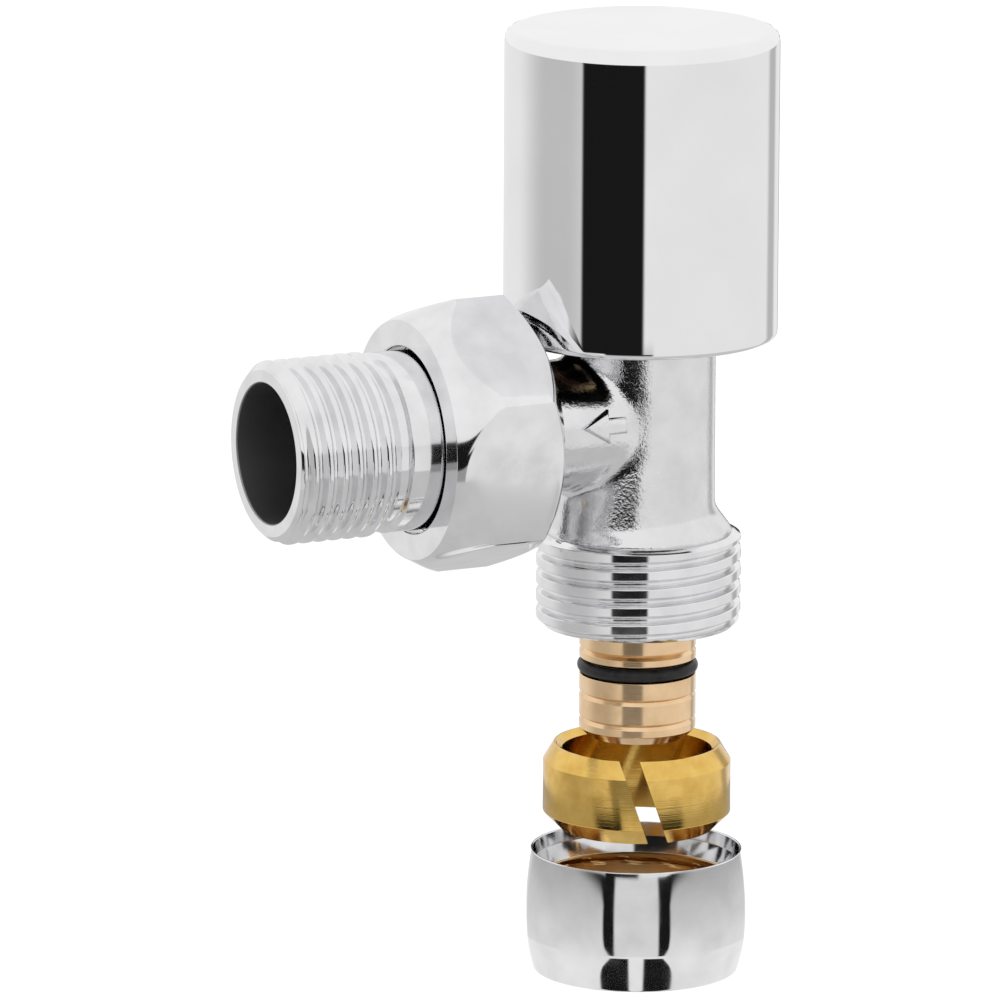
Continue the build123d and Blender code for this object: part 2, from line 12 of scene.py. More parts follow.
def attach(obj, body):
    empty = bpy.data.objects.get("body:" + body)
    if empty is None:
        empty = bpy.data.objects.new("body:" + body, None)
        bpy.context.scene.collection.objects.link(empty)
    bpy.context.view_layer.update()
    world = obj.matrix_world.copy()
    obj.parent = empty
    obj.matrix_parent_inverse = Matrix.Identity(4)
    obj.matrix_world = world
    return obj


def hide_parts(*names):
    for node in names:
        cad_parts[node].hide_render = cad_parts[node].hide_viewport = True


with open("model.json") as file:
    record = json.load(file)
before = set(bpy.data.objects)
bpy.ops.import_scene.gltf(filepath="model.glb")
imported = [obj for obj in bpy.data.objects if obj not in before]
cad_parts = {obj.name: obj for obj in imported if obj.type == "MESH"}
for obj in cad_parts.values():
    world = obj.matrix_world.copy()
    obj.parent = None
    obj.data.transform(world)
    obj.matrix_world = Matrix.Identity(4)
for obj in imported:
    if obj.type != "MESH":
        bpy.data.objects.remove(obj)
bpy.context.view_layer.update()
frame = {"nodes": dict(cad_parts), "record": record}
scene = bpy.context.scene
scene.view_settings.view_transform = "Standard"


# Camera
# The photo looks down on the valve a little, from the front and the tail's side, with a long lens.
camera_turn = math.radians(-26.0)
camera_lift = math.radians(12.6)
camera_roll = math.radians(-0.3)
camera_distance = 1.3
pixels_per_metre = 8750
crossing = Vector((0.0347, 0, 0))
crossing_pixel = (639.5, 417)

backward = Vector(
    (
        math.sin(camera_turn) * math.cos(camera_lift),
        -math.cos(camera_turn) * math.cos(camera_lift),
        math.sin(camera_lift),
    )
)
level_right = Vector((math.cos(camera_turn), math.sin(camera_turn), 0))
level_up = backward.cross(level_right)
right = level_right * math.cos(camera_roll) - level_up * math.sin(camera_roll)
up = level_up * math.cos(camera_roll) + level_right * math.sin(camera_roll)
aim = crossing - right * (crossing_pixel[0] - 500) / pixels_per_metre
aim = aim + up * (crossing_pixel[1] - 500) / pixels_per_metre
eye = aim + backward * camera_distance
camera = bpy.data.objects.new("camera", bpy.data.cameras.new("camera"))
camera.data.sensor_width = 36
camera.data.lens = 36 * pixels_per_metre * camera_distance / 1000
camera.data.clip_start = 0.05
camera.data.clip_end = 20
camera.matrix_world = Matrix(
    (
        (right.x, up.x, backward.x, eye.x),
        (right.y, up.y, backward.y, eye.y),
        (right.z, up.z, backward.z, eye.z),
        (0, 0, 0, 1),
    )
)
scene.collection.objects.link(camera)
scene.camera = camera


# Valve body
# A sand cast brass elbow, chrome plated as cast: the grain of the mould stays on the neck and the
# elbow, while the pipe port below is turned and threaded.
valve_axis = Matrix.Translation(crossing) @ Matrix.Scale(0.001, 4)
port_crest = 11.72
port_thread_depth = 0.85
port_pitch = 2.1
thread_top = -13.4
port_face = -24.0
port_bore = 7.2
port_chamfer = -18.6
neck_radius = 8.65
outlet_radius = 7.5
fillet_low, fillet_high = -1, 1.6
skin_voxel = 0.00032


def node(tree, kind, inputs=None, **settings):
    """New shader or geometry node with its settings, and its inputs linked or set."""
    made = tree.nodes.new(kind)
    for key, value in settings.items():
        setattr(made, key, value)
    for key, value in (inputs or {}).items():
        if isinstance(value, bpy.types.NodeSocket):
            tree.links.new(value, made.inputs[key])
        else:
            made.inputs[key].default_value = value
    return made


def node_group(name, kind, sockets):
    """New node group with its interface, and its input and output nodes."""
    group = bpy.data.node_groups.new(name, kind)
    for way, label, socket_kind in sockets:
        group.interface.new_socket(label, in_out=way, socket_type=socket_kind)
    return group, group.nodes.new("NodeGroupInput"), group.nodes.new("NodeGroupOutput")


def softened(corners):
    """Outline of corners (radius, height, round), each corner turned into a small arc."""
    path = []
    for place, (radius, height, bend) in enumerate(corners):
        here = Vector((radius, height))
        before = Vector(corners[place - 1][:2]) - here
        after = Vector(corners[(place + 1) % len(corners)][:2]) - here
        if bend == 0:
            path.append(here)
            continue
        reach = bend / math.tan(before.angle(after) / 2)
        reach = min(reach, 0.4 * before.length, 0.4 * after.length)
        start = here + before.normalized() * reach
        end = here + after.normalized() * reach
        path.append(start + before.normalized() * 0.15 * reach)
        for share in (0, 0.2, 0.4, 0.6, 0.8, 1):
            path.append((1 - share) ** 2 * start + 2 * share * (1 - share) * here + share**2 * end)
        path.append(end + after.normalized() * 0.15 * reach)
    return path


def refined(path, low, high, inner, gap):
    """Outline with more points on its stretches between two heights and beyond a radius."""
    finer = []
    for place, start in enumerate(path):
        end = path[(place + 1) % len(path)]
        finer.append(start)
        if min(start.y, end.y) >= low and max(start.y, end.y) <= high and min(start.x, end.x) >= inner:
            count = int((end - start).length / gap)
            for step in range(1, count + 1):
                finer.append(start.lerp(end, step / (count + 1)))
    return finer


def turned(name, path, steps, place, reshape=None, closed=True):
    """Object spun from an outline about its own axis and put in place; reshape bends the radius."""
    angle = np.linspace(0, 2 * np.pi, steps, endpoint=False)
    radius = np.repeat([[point[0]] for point in path], steps, axis=1)
    height = np.repeat([[point[1]] for point in path], steps, axis=1)
    if reshape:
        radius = reshape(np.tile(angle, (len(path), 1)), radius, height)
    points = np.stack([radius * np.cos(angle), radius * np.sin(angle), height], axis=2)
    faces = []
    for row in range(len(path) if closed else len(path) - 1):
        this, other = row * steps, (row + 1) % len(path) * steps
        for step in range(steps):
            after = (step + 1) % steps
            faces.append((this + step, this + after, other + after, other + step))
    return solid(name, points.reshape(-1, 3), faces, place)


def solid(name, points, faces, place):
    """Object of a closed mesh, put in place, with its faces outwards and smooth but for sharp edges."""
    mesh = bpy.data.meshes.new(name)
    mesh.from_pydata([tuple(point) for point in points], [], faces)
    work = bmesh.new()
    work.from_mesh(mesh)
    bmesh.ops.remove_doubles(work, verts=work.verts, dist=0.0005)
    bmesh.ops.recalc_face_normals(work, faces=work.faces)
    work.to_mesh(mesh)
    work.free()
    mesh.transform(place)
    mesh.shade_smooth()
    mesh.set_sharp_from_angle(angle=math.radians(40))
    made = bpy.data.objects.new(name, mesh)
    scene.collection.objects.link(made)
    return made


def dressed(piece, material, body, slot, *nodes):
    """Gives a piece its material and its body, and hides the CAD nodes that it stands for. The slot is
    not used.
    """
    piece.data.materials.clear()
    piece.data.materials.append(material)
    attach(piece, body)
    if nodes:
        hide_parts(*nodes)


# Geometry nodes that cut a screw thread into a turned blank, round its own axis, on points marked "cut"
thread_tree, thread_in, thread_out = node_group(
    "screw_thread",
    "GeometryNodeTree",
    [
        ("INPUT", "Blank", "NodeSocketGeometry"),
        ("INPUT", "Pitch", "NodeSocketFloat"),
        ("INPUT", "Crest", "NodeSocketFloat"),
        ("INPUT", "Depth", "NodeSocketFloat"),
        ("INPUT", "Root", "NodeSocketFloat"),
        ("INPUT", "Mouth", "NodeSocketFloat"),
        ("INPUT", "Phase", "NodeSocketFloat"),
        ("INPUT", "Inside", "NodeSocketBool"),
        ("INPUT", "Material", "NodeSocketMaterial"),
        ("OUTPUT", "Threaded", "NodeSocketGeometry"),
    ],
)
thread_tree.is_modifier = True
thread = thread_in.outputs


def sum_of(operation, first, second=0.0, third=0.0):
    """Output of a new math node in the thread's tree."""
    values = {0: first, 1: second, 2: third}
    return node(thread_tree, "ShaderNodeMath", values, operation=operation).outputs[0]


blank_point = node(thread_tree, "GeometryNodeInputPosition").outputs[0]
where = node(thread_tree, "ShaderNodeSeparateXYZ", {0: blank_point}).outputs
across_squared = sum_of("MULTIPLY_ADD", where[0], where[0], sum_of("POWER", where[1], 2.0))
blank_radius = sum_of("SQRT", across_squared)
turns = sum_of("DIVIDE", sum_of("ARCTAN2", where[1], where[0]), 2 * math.pi)
rise = sum_of("ADD", sum_of("DIVIDE", where[2], thread["Pitch"]), thread["Phase"])
wave = sum_of("PINGPONG", sum_of("SUBTRACT", rise, turns), 0.5)
tooth = node(
    thread_tree,
    "ShaderNodeMapRange",
    {"Value": wave, "From Min": thread["Root"], "From Max": thread["Mouth"]},
    interpolation_type="SMOOTHSTEP",
)
valley = sum_of("MULTIPLY", thread["Depth"], sum_of("SUBTRACT", 1.0, tooth.outputs[0]))
outer_radius = sum_of("MINIMUM", blank_radius, sum_of("SUBTRACT", thread["Crest"], valley))
inner_radius = sum_of("MAXIMUM", blank_radius, sum_of("ADD", thread["Crest"], valley))
cut_radius = node(
    thread_tree,
    "GeometryNodeSwitch",
    {"Switch": thread["Inside"], "False": outer_radius, "True": inner_radius},
    input_type="FLOAT",
)
change = sum_of("SUBTRACT", sum_of("DIVIDE", cut_radius.outputs[0], blank_radius), 1.0)
marked = node(thread_tree, "GeometryNodeInputNamedAttribute", {"Name": "cut"}, data_type="FLOAT")
growth = sum_of("MULTIPLY_ADD", change, marked.outputs[0], 1.0)
cut_point = node(
    thread_tree,
    "ShaderNodeCombineXYZ",
    {0: sum_of("MULTIPLY", where[0], growth), 1: sum_of("MULTIPLY", where[1], growth), 2: where[2]},
)
cut_blank = node(
    thread_tree,
    "GeometryNodeSetPosition",
    {"Geometry": thread["Blank"], "Position": cut_point.outputs[0]},
)
realized = node(thread_tree, "GeometryNodeRealizeInstances", {0: cut_blank.outputs[0]})
painted = node(
    thread_tree,
    "GeometryNodeSetMaterial",
    {"Geometry": realized.outputs[0], "Material": thread["Material"]},
)
thread_tree.links.new(painted.outputs[0], thread_out.inputs[0])


def threaded(blank, place, material, low, high, radii, **settings):
    """Cuts a thread into a blank between two heights and two radii, then puts the piece in place."""
    points = np.array([vertex.co for vertex in blank.data.vertices])
    radius = np.hypot(points[:, 0], points[:, 1])
    inside = (points[:, 2] > low) & (points[:, 2] < high) & (radius > radii[0]) & (radius < radii[1])
    mark = blank.data.attributes.new("cut", "FLOAT", "POINT")
    mark.data.foreach_set("value", inside.astype(np.float32))
    modifier = blank.modifiers.new("thread", "NODES")
    modifier.node_group = thread_tree
    for item in thread_tree.interface.items_tree:
        if item.in_out == "INPUT" and item.name in settings:
            modifier[item.identifier] = settings[item.name]
        if item.name == "Material":
            modifier[item.identifier] = material
    graph = bpy.context.evaluated_depsgraph_get()
    mesh = bpy.data.meshes.new_from_object(blank.evaluated_get(graph))
    blank.modifiers.clear()
    blank.data = mesh
    mesh.attributes.remove(mesh.attributes["cut"])
    mesh.transform(place)
    mesh.shade_smooth()
    mesh.set_sharp_from_angle(angle=math.radians(50))
    return blank


# Shader group: how much a spot is dulled by handling, from 0 to 1
handling, handling_in, handling_out = node_group(
    "handling",
    "ShaderNodeTree",
    [
        ("INPUT", "Spot", "NodeSocketVector"),
        ("INPUT", "Size", "NodeSocketFloat"),
        ("OUTPUT", "Dull", "NodeSocketFloat"),
    ],
)
smear = node(
    handling,
    "ShaderNodeTexNoise",
    {"Vector": handling_in.outputs["Spot"], "Scale": handling_in.outputs["Size"], "Detail": 5.0},
)
smear_level = node(
    handling, "ShaderNodeMapRange", {"Value": smear.outputs[0], "From Min": 0.35, "From Max": 0.7}
)
handling.links.new(smear_level.outputs[0], handling_out.inputs["Dull"])

# Shader group: height of the sand's grain left in a cast surface
sand_grain, grain_in, grain_out = node_group(
    "sand_grain",
    "ShaderNodeTree",
    [("INPUT", "Spot", "NodeSocketVector"), ("OUTPUT", "Height", "NodeSocketFloat")],
)
coarse_grain = node(
    sand_grain,
    "ShaderNodeTexNoise",
    {"Vector": grain_in.outputs["Spot"], "Scale": 2600.0, "Detail": 2.0, "Roughness": 0.55},
)
fine_grain = node(
    sand_grain,
    "ShaderNodeTexNoise",
    {"Vector": grain_in.outputs["Spot"], "Scale": 6000.0, "Detail": 2.0},
)
grain_sum = node(
    sand_grain,
    "ShaderNodeMath",
    {0: fine_grain.outputs[0], 1: 0.4, 2: coarse_grain.outputs[0]},
    operation="MULTIPLY_ADD",
)
sand_grain.links.new(grain_sum.outputs[0], grain_out.inputs["Height"])

# Shader group: height of the fine lines that a lathe's tool leaves along its axis
tool_lines, lines_in, lines_out = node_group(
    "tool_lines",
    "ShaderNodeTree",
    [
        ("INPUT", "Along", "NodeSocketFloat"),
        ("INPUT", "Fineness", "NodeSocketFloat"),
        ("OUTPUT", "Height", "NodeSocketFloat"),
    ],
)
line_noise = node(
    tool_lines,
    "ShaderNodeTexNoise",
    {"W": lines_in.outputs["Along"], "Scale": lines_in.outputs["Fineness"], "Detail": 3.0},
    noise_dimensions="1D",
)
tool_lines.links.new(line_noise.outputs[0], lines_out.inputs["Height"])


def metal(name, bright, dull, smooth, rough, patch=260.0):
    """Metal whose tint and roughness drift with handling; gives its tree and its spot as well."""
    material = bpy.data.materials.new(name)
    material.use_nodes = True
    tree = material.node_tree
    shader = tree.nodes["Principled BSDF"]
    shader.inputs["Metallic"].default_value = 1.0
    spot = node(tree, "ShaderNodeTexCoord").outputs["Object"]
    worn = node(tree, "ShaderNodeGroup", {"Spot": spot, "Size": patch}, node_tree=handling).outputs[0]
    tint = node(
        tree, "ShaderNodeMix", {"Factor": worn, 6: (*bright, 1), 7: (*dull, 1)}, data_type="RGBA"
    )
    tree.links.new(tint.outputs[2], shader.inputs["Base Color"])
    gloss = node(tree, "ShaderNodeMapRange", {"Value": worn, "To Min": smooth, "To Max": rough})
    tree.links.new(gloss.outputs[0], shader.inputs["Roughness"])
    return material, tree, spot


def bumped(tree, height, strength, distance):
    """Lets a height bump the material's surface."""
    bump = node(
        tree, "ShaderNodeBump", {"Height": height, "Strength": strength, "Distance": distance}
    )
    tree.links.new(bump.outputs[0], tree.nodes["Principled BSDF"].inputs["Normal"])


def lined(tree, spot, axis, fineness, strength, distance):
    """Puts a lathe's tool lines on a material, along the X or the Z axis."""
    along = node(tree, "ShaderNodeSeparateXYZ", {0: spot}).outputs[axis]
    lines = node(
        tree, "ShaderNodeGroup", {"Along": along, "Fineness": fineness}, node_tree=tool_lines
    )
    bumped(tree, lines.outputs[0], strength, distance)


plated = {"bright": (0.86, 0.86, 0.87), "dull": (0.76, 0.76, 0.77), "smooth": 0.05, "rough": 0.12}
cast_chrome, cast_tree, cast_spot = metal(
    "cast_chrome", (0.81, 0.81, 0.82), (0.71, 0.71, 0.72), 0.07, 0.16
)
grain = node(cast_tree, "ShaderNodeGroup", {"Spot": cast_spot}, node_tree=sand_grain)
bumped(cast_tree, grain.outputs[0], 0.16, 0.0002)
turned_chrome = metal("turned_chrome", **plated)[0]

casting_mesh = frame["nodes"]["valve_body"].data.copy()
skin = bmesh.new()
skin.from_mesh(casting_mesh)
bmesh.ops.remove_doubles(skin, verts=skin.verts, dist=1e-7)
skin.to_mesh(casting_mesh)
skin.free()
body_casting = bpy.data.objects.new("body_casting", casting_mesh)
scene.collection.objects.link(body_casting)
port_room_mesh = bpy.data.meshes.new("port_room")
room = bmesh.new()
bmesh.ops.create_cube(room, size=0.06)
room_middle = crossing + Vector((0, 0, thread_top * 0.001 - 0.03))
bmesh.ops.translate(room, verts=room.verts, vec=room_middle)
room.to_mesh(port_room_mesh)
room.free()
port_room = bpy.data.objects.new("port_room", port_room_mesh)
scene.collection.objects.link(port_room)
without_port = body_casting.modifiers.new("without_port", "BOOLEAN")
without_port.object = port_room
without_port.solver = "EXACT"
remesh = body_casting.modifiers.new("skin", "REMESH")
remesh.mode = "VOXEL"
remesh.voxel_size = skin_voxel
graph = bpy.context.evaluated_depsgraph_get()
casting_mesh = bpy.data.meshes.new_from_object(body_casting.evaluated_get(graph))
body_casting.modifiers.clear()
body_casting.data = casting_mesh
bpy.data.objects.remove(port_room)
skin = bmesh.new()
skin.from_mesh(casting_mesh)
roots = []
for vertex in skin.verts:
    x, y, z = (vertex.co - crossing) * 1000
    from_neck = math.hypot(x, y) - neck_radius
    from_outlet = math.hypot(y, z) - outlet_radius
    if x < 0 and fillet_low < from_neck < fillet_high and fillet_low < from_outlet < fillet_high:
        roots.append(vertex)
every_way = {"use_axis_x": True, "use_axis_y": True, "use_axis_z": True}
for vertices, rounds in ((skin.verts, 8), (roots, 30)):
    for step in range(rounds):
        bmesh.ops.smooth_vert(skin, verts=vertices, factor=0.5, **every_way)
skin.to_mesh(casting_mesh)
skin.free()
casting_mesh.shade_smooth()
dressed(body_casting, cast_chrome, "valve", "cast_chrome", "valve_body")

port_outline = softened(
    [
        (port_bore, thread_top + 0.2, 0),
        (port_bore, port_chamfer, 0),
        (10.42, port_face, 0.1),
        (10.97, port_face, 0.15),
        (port_crest, port_face + 0.8, 0.1),
        (port_crest, thread_top - 0.2, 0.1),
        (11.0, thread_top + 0.2, 0),
    ]
)
port_outline = refined(port_outline, port_face, thread_top, 10.9, 0.05)
port_blank = turned("port_thread", port_outline, 300, Matrix.Identity(4))
port_thread = threaded(
    port_blank,
    valve_axis,
    turned_chrome,
    port_face - 0.1,
    thread_top,
    (10.6, 12.0),
    Pitch=port_pitch,
    Crest=port_crest,
    Depth=port_thread_depth,
    Root=0.05,
    Mouth=0.27,
    Phase=0.83,
    Inside=False,
)
dressed(port_thread, turned_chrome, "valve", "turned_chrome")


# Flow arrow
# A small arrow cast proud on the front of the side outlet, pointing the way the water goes.
arrow_middle = 26.5
arrow_lift = math.radians(8.0)
arrow_relief = 0.8
arrow_head = [(-0.5, -1.95), (2.8, 0), (-0.5, 1.95)]
arrow_stem = [(-0.5, 0.95), (-2.7, 0.95), (-2.7, -0.95), (-0.5, -0.95)]
arrow_shape = arrow_head[1:] + arrow_stem + arrow_head[:1]


def drawn_in(corners, distance):
    """Outline with each of its sides moved inwards by a distance."""
    inner = []
    for place, corner in enumerate(corners):
        here = Vector(corner)
        before = (here - Vector(corners[place - 1])).normalized()
        after = (Vector(corners[(place + 1) % len(corners)]) - here).normalized()
        share = distance / (1 + before.dot(after))
        inner.append(here + share * Vector((-before.y - after.y, before.x + after.x)))
    return inner


arrow = bmesh.new()
layers = []
for inset, proud in ((0, -0.9), (0, 0.3), (0.1, 0.55), (0.24, 0.72), (0.42, arrow_relief)):
    layers.append([arrow.verts.new((*corner, proud)) for corner in drawn_in(arrow_shape, inset)])
for lower, upper in zip(layers, layers[1:]):
    for place in range(len(lower)):
        after = (place + 1) % len(lower)
        arrow.faces.new((lower[place], lower[after], upper[after], upper[place]))
arrow.faces.new(layers[-1])
arrow.faces.new(layers[0][::-1])
bmesh.ops.triangulate(arrow, faces=arrow.faces)
for vertex in arrow.verts:
    along, around, proud = vertex.co
    reach = outlet_radius + proud
    vertex.co = (
        arrow_middle - along,
        -reach * math.cos(arrow_lift) + around * math.sin(arrow_lift),
        reach * math.sin(arrow_lift) + around * math.cos(arrow_lift),
    )
bmesh.ops.recalc_face_normals(arrow, faces=arrow.faces)
arrow_mesh = bpy.data.meshes.new("flow_arrow")
arrow.to_mesh(arrow_mesh)
arrow.free()
arrow_mesh.transform(Matrix.Scale(0.001, 4))
arrow_mesh.shade_smooth()
arrow_mesh.set_sharp_from_angle(angle=math.radians(75))
flow_arrow = bpy.data.objects.new("flow_arrow", arrow_mesh)
scene.collection.objects.link(flow_arrow)
dressed(flow_arrow, cast_chrome, "valve", "cast_chrome")


# Handle
# A deep cup pressed from brass, polished to a mirror and chrome plated, pushed on its hub.
polished_chrome, polished_tree, polished_spot = metal(
    "polished_chrome", (0.9, 0.9, 0.91), (0.86, 0.86, 0.87), 0.015, 0.05, 90.0
)

# Shader group: 1 inside a bore about the valve's axis or the tail's, between two levels, else 0
bore_mask, mask_in, mask_out = node_group(
    "bore_mask",
    "ShaderNodeTree",
    [
        ("INPUT", "Spot", "NodeSocketVector"),
        ("INPUT", "Across", "NodeSocketVector"),
        ("INPUT", "Radius", "NodeSocketFloat"),
        ("INPUT", "Low", "NodeSocketFloat"),
        ("INPUT", "High", "NodeSocketFloat"),
        ("OUTPUT", "Inside", "NodeSocketFloat"),
    ],
)
bore_spot = mask_in.outputs["Spot"]
off_axis = node(bore_mask, "ShaderNodeVectorMath", {0: bore_spot, 1: crossing}, operation="SUBTRACT")
off_axis = node(
    bore_mask,
    "ShaderNodeVectorMath",
    {0: off_axis.outputs[0], 1: mask_in.outputs["Across"]},
    operation="MULTIPLY",
)
bore_reach = node(bore_mask, "ShaderNodeVectorMath", {0: off_axis.outputs[0]}, operation="LENGTH")
bore_level = node(bore_mask, "ShaderNodeSeparateXYZ", {0: bore_spot}).outputs[2]
bore_share = node(
    bore_mask,
    "ShaderNodeMath",
    {0: bore_reach.outputs["Value"], 1: mask_in.outputs["Radius"]},
    operation="LESS_THAN",
)
for operation, limit in (("LESS_THAN", "High"), ("GREATER_THAN", "Low")):
    ends = {0: bore_level, 1: mask_in.outputs[limit]}
    kept = node(bore_mask, "ShaderNodeMath", ends, operation=operation)
    bore_share = node(
        bore_mask, "ShaderNodeMath", {0: bore_share.outputs[0], 1: kept.outputs[0]}, operation="MULTIPLY"
    )
bore_mask.links.new(bore_share.outputs[0], mask_out.inputs["Inside"])


def bore_shade_or_bare_metal(tree, spot, across, radius, low, high, tint, gloss):
    """Gives a material another tint and roughness inside a bore: painted shade in the handle cup and the
    tail's bore, bare brass in the nut's thread.
    """
    limits = {"Spot": spot, "Across": across, "Radius": radius, "Low": low, "High": high}
    mask = node(tree, "ShaderNodeGroup", limits, node_tree=bore_mask).outputs[0]
    shader = tree.nodes["Principled BSDF"]
    tint_in, gloss_in = shader.inputs["Base Color"], shader.inputs["Roughness"]
    tints = {"Factor": mask, 6: tint_in.links[0].from_socket, 7: (*tint, 1)}
    tree.links.new(node(tree, "ShaderNodeMix", tints, data_type="RGBA").outputs[2], tint_in)
    glosses = {"Factor": mask, 2: gloss_in.links[0].from_socket, 3: gloss}
    tree.links.new(node(tree, "ShaderNodeMix", glosses, data_type="FLOAT").outputs[0], gloss_in)


upright = (1, 1, 0)
# Inside the handle cup the chrome is painted near black and rough: painted shade in the cup's hollow.
bore_shade_or_bare_metal(polished_tree, polished_spot, upright, 0.0149, -1.0, 0.044, (0.05, 0.045, 0.04), 0.5)
handle_top, handle_ceiling, handle_foot = 45.1, 43.5, 9.8
handle_outside, handle_inside = 15.65, 14.05
handle_outline = softened(
    [
        (0, handle_top, 0),
        (handle_outside, handle_top, 1.4),
        (handle_outside, handle_foot, 1.0),
        (handle_inside, handle_foot, 0.2),
        (handle_inside, handle_ceiling, 0.8),
        (0, handle_ceiling, 0),
    ]
)
handle_cup = turned("handle_cup", handle_outline, 256, valve_axis, closed=False)
dressed(handle_cup, polished_chrome, "handle", "polished_chrome", "handle_shell")


# Tail
# A turned brass tail, plated, with the pipe thread that screws into the radiator and a hexagon
# socket inside for the key that drives it.
tail_axis = Matrix.Scale(0.001, 4) @ Matrix.Rotation(math.radians(90), 4, "Y")
tail_crest = 10.4775
tail_bore, tail_neck, tail_shank, tail_collar, tail_spigot = 8.0, 9.58, 10.25, 11.9, 8.3
tail_face, collar_front, collar_back, tail_end = -12.3, 7.4, 9.9, 13.4
key_flat = 6.0


def key_socket(angle, radius, height):
    """Draws the inner end of the tail's bore in to a hexagon."""
    side = (angle + math.radians(30)) % math.radians(60) - math.radians(30)
    return np.where(radius < key_flat + 0.5, key_flat / np.cos(side), radius)


tail_chrome, tail_tree, tail_spot = metal("tail_chrome", **plated)
# Inside the tail's bore the chrome is painted dark grey and rough: painted shade in the bore.
bore_shade_or_bare_metal(tail_tree, tail_spot, (0, 1, 1), 0.00815, -1.0, 1.0, (0.3, 0.3, 0.3), 0.45)
tail_outline = softened(
    [
        (tail_bore, tail_face, 0.2),
        (9.48, tail_face, 0.15),
        (tail_crest, -11.3, 0.1),
        (tail_crest, -0.3, 0.1),
        (tail_neck, 0.0, 0.1),
        (tail_neck, 1.0, 0.1),
        (tail_shank, 1.3, 0.15),
        (tail_shank, collar_front, 0),
        (tail_collar, collar_front, 0.1),
        (tail_collar, collar_back, 0.1),
        (tail_spigot, collar_back, 0),
        (tail_spigot, tail_end, 0.2),
        (key_flat, tail_end, 0),
        (key_flat, 4.7, 0),
        (tail_bore, 2.7, 0.1),
    ]
)
tail_outline = refined(tail_outline, tail_face, 0.0, 9.4, 0.1)
tail_blank = turned("tail", tail_outline, 192, Matrix.Identity(4), key_socket)
tail = threaded(
    tail_blank,
    tail_axis,
    tail_chrome,
    tail_face - 0.1,
    0.05,
    (8.9, 10.6),
    Pitch=1.814,
    Crest=tail_crest,
    Depth=0.9,
    Root=0.06,
    Mouth=0.42,
    Phase=0.2,
    Inside=False,
)
dressed(tail, tail_chrome, "valve", "turned_chrome", "tail_piece")


# Union nut
# A plated brass hexagon nut, turned to a chamfer at both ends, that pulls the tail on the outlet.
union_flat = 14.3
union_turn = math.radians(22.5)
union_corner, union_face, union_bore, union_throat = 16.6, 13.7, 13.06, 10.68
union_front, union_back = 5.0, 18.5


def blend_low(first, second, width):
    """Smaller of two radii, with the edge between them rounded."""
    low = np.minimum(first, second)
    return low - width * np.log(np.exp((low - first) / width) + np.exp((low - second) / width))


def hexagon(angle, radius, height):
    """Cuts six flats on the outside of the union nut."""
    side = (angle + union_turn + math.radians(30)) % math.radians(60) - math.radians(30)
    return np.where(radius > union_face - 0.3, blend_low(radius, union_flat / np.cos(side), 0.25), radius)


union_outline = softened(
    [
        (union_throat, union_front, 0.3),
        (union_face, union_front, 0.12),
        (union_corner, 10.16, 0),
        (union_corner, 16.23, 0),
        (union_face, union_back, 0.12),
        (union_bore, union_back, 0),
        (union_bore, 7.3, 0),
        (union_throat, 7.3, 0),
    ]
)
union_outline = refined(union_outline, union_front, union_back, 13.6, 0.12)
union_nut = turned("union_hexagon", union_outline, 480, tail_axis, hexagon)
dressed(union_nut, turned_chrome, "union_nut", "turned_chrome", "union_nut")


# Insert nipple
# A turned brass nipple, satin and unplated, that goes inside the pipe; fine grooves grip the pipe.
pale_brass, pale_tree, pale_spot = metal(
    "pale_brass", (0.9, 0.65, 0.4), (0.8, 0.55, 0.31), 0.12, 0.2, 400.0
)
lined(pale_tree, pale_spot, 2, 9000.0, 0.12, 0.00003)
nipple_bore, nipple_shank, nipple_head = 4.8, 6.7, 7.15
nipple_end, nipple_top, head_foot = -37.2, -12.6, -18.6


def pipe_groove(drop):
    """Corners of a groove in the nipple's shank, a drop below the port's face."""
    line = port_face - drop
    return [(nipple_shank, line - 0.6, 0.08), (6.32, line, 0.04), (nipple_shank, line + 0.08, 0.05)]


nipple_corners = [
    (nipple_bore, nipple_end, 0.2),
    (5.7, nipple_end, 0.15),
    (nipple_shank, -36.2, 0.15),
    *pipe_groove(10.8),
    *pipe_groove(7.9),
    (nipple_shank, -29.85, 0.1),
    (5.25, -29.85, 0),
    (5.25, -27.95, 0),
    (nipple_shank, -27.95, 0.1),
    *pipe_groove(2.6),
    (nipple_shank, head_foot, 0),
    (nipple_head, head_foot, 0.1),
    (nipple_head, -16.55, 0),
    (5.35, -16.55, 0),
    (5.35, -14.65, 0),
    (nipple_head, -14.65, 0),
    (nipple_head, nipple_top, 0),
    (nipple_bore, nipple_top, 0),
]
nipple = turned("nipple", softened(nipple_corners), 160, valve_axis)
dressed(nipple, pale_brass, "valve", "pale_brass", "insert_nipple")


# Nipple seal
# A moulded black rubber ring in the nipple's groove, standing a little proud.
black_rubber = bpy.data.materials.new("black_rubber")
black_rubber.use_nodes = True
rubber_tree = black_rubber.node_tree
rubber_spot = node(rubber_tree, "ShaderNodeTexCoord").outputs["Object"]
rubber_dull = node(
    rubber_tree, "ShaderNodeGroup", {"Spot": rubber_spot, "Size": 900.0}, node_tree=handling
)
rubber_tint = node(
    rubber_tree,
    "ShaderNodeMix",
    {"Factor": rubber_dull.outputs[0], 6: (0.012, 0.012, 0.012, 1), 7: (0.03, 0.03, 0.031, 1)},
    data_type="RGBA",
)
rubber_gloss = node(
    rubber_tree, "ShaderNodeMapRange", {"Value": rubber_dull.outputs[0], "To Min": 0.3, "To Max": 0.5}
)
rubber_shader = rubber_tree.nodes["Principled BSDF"]
rubber_shader.inputs["Specular IOR Level"].default_value = 0.25
rubber_tree.links.new(rubber_tint.outputs[2], rubber_shader.inputs["Base Color"])
rubber_tree.links.new(rubber_gloss.outputs[0], rubber_shader.inputs["Roughness"])
